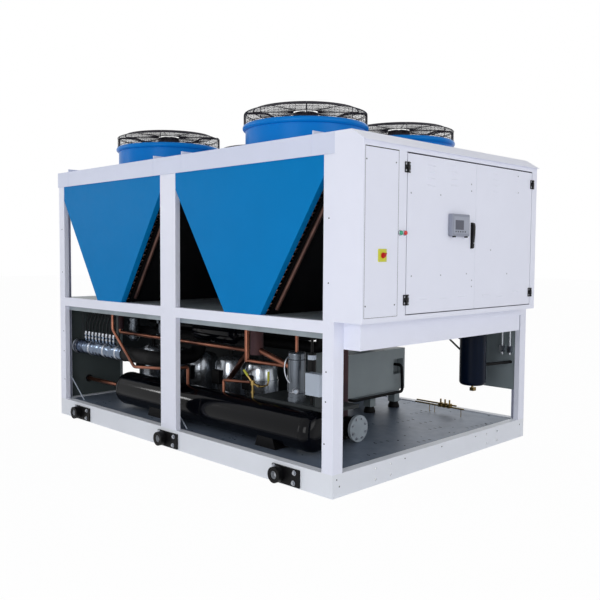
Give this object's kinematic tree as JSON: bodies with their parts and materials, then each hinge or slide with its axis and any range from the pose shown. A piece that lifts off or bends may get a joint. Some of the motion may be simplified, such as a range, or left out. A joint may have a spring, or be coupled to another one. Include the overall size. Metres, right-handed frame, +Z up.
{
  "type": "air-cooled compressor rack",
  "caption": "Framed refrigeration rack with V-shaped condenser coils, top fans, an open plant compartment below and an electrical cabinet on one end.",
  "frame": {"origin": "centre of the base frame's footprint, on the ground", "axes": "+Z up, +X along the frame towards the electrical cabinet, +Y from the front to the back"},
  "size_m": [3.461, 2.36, 2.398],
  "materials": {
    "white_paint": "smooth satin",
    "blue_paint": "smooth satin",
    "grey_paint": "satin",
    "black_paint": "satin",
    "galvanised": "dull zinc",
    "grille_steel": "coated wire",
    "coil_fins": "fine vertical fins",
    "rotor": "moulded",
    "black_plastic": "moulded",
    "grey_plastic": "moulded",
    "yellow_plastic": "moulded",
    "red_plastic": "moulded",
    "lamp_plastic": "lenses",
    "compressor_paint": "silver paint",
    "copper": "drawn tube",
    "insulation": "foam tube",
    "tank_paint": "gloss",
    "riser_paint": "dull dark brown",
    "brass": "machined",
    "capillary": "dark drawn tube"
  },
  "bodies": {
    "frame": {"base_frame": "white_paint", "blind_flange": "galvanised", "cabinet_apron": "white_paint", "cabinet_panel": "white_paint", "cabinet_roof": "white_paint", "cabinet_shell": "white_paint", "coil_cheeks": "white_paint", "coil_manifolds": "copper", "coils": "coil_fins", "compressors": "compressor_paint", "copper_pipes": "copper", "corner_posts": "white_paint", "distributor_tubes": "capillary", "enclosure": "grey_paint", "enclosure_pads": "insulation", "end_panel": "grey_paint", "fan_deck": "white_paint", "fan_grilles": "grille_steel", "fan_rings": "blue_paint", "filter_drier": "black_paint", "flange_body": "black_paint", "floor_plate": "galvanised", "hinges_fixed": "black_plastic", "hoses": "insulation", "indicator_lamps": "lamp_plastic", "lifting_lugs": "black_paint", "mid_deck": "grey_paint", "mid_rails": "white_paint", "middle_posts": "white_paint", "oil_tank": "tank_paint", "panel_valves": "galvanised", "plant_supports": "grey_paint", "receiver": "black_paint", "receiver_saddles": "black_paint", "receiver_valve": "brass", "risers": "riser_paint", "separator": "black_paint", "suction_header": "galvanised", "suction_line": "insulation", "switch_plate": "yellow_plastic", "tank_drain": "brass", "terminal_box": "grey_plastic", "v_panels": "blue_paint", "valve_panel": "grey_paint", "valve_row": "brass"},
    "near_door": {"door_near": "white_paint", "hinges_near_leaf": "black_plastic", "controller": "grey_plastic", "handle_base": "black_plastic"},
    "far_door": {"door_far": "white_paint", "hinges_far_leaf": "black_plastic"},
    "lever": {"door_handle": "black_plastic"},
    "knob": {"switch_knob": "red_plastic"},
    "fan_front_left": {"fan_rotor_front_left": "rotor"},
    "fan_front_right": {"fan_rotor_front_right": "rotor"},
    "fan_back_left": {"fan_rotor_back_left": "rotor"},
    "fan_back_right": {"fan_rotor_back_right": "rotor"}
  },
  "joints": [
    {"name": "fan_spin_front_left", "type": "hinge", "parent": "frame", "child": "fan_front_left", "pos_m": [-0.8, -0.53, 2.23], "axis": [0, 0, 1], "continuous": true},
    {"name": "fan_spin_front_right", "type": "hinge", "parent": "frame", "child": "fan_front_right", "pos_m": [0.8, -0.53, 2.23], "axis": [0, 0, 1], "continuous": true},
    {"name": "fan_spin_back_left", "type": "hinge", "parent": "frame", "child": "fan_back_left", "pos_m": [-0.8, 0.53, 2.23], "axis": [0, 0, 1], "continuous": true},
    {"name": "fan_spin_back_right", "type": "hinge", "parent": "frame", "child": "fan_back_right", "pos_m": [0.8, 0.53, 2.23], "axis": [0, 0, 1], "continuous": true},
    {"name": "near_door_hinge", "type": "hinge", "parent": "frame", "child": "near_door", "pos_m": [1.824, -0.731, 1.53], "axis": [0, 0, -1], "range_deg": [0, 110]},
    {"name": "far_door_hinge", "type": "hinge", "parent": "frame", "child": "far_door", "pos_m": [1.824, 0.758, 1.53], "axis": [0, 0, 1], "range_deg": [0, 110]},
    {"name": "lever_pivot", "type": "hinge", "parent": "near_door", "child": "lever", "pos_m": [1.834, -0.0295, 1.608], "axis": [0, -1, 0], "range_deg": [0, 60]},
    {"name": "switch_turn", "type": "hinge", "parent": "frame", "child": "knob", "pos_m": [1.83, -0.957, 1.41], "axis": [1, 0, 0], "range_deg": [0, 90]}
  ]
}
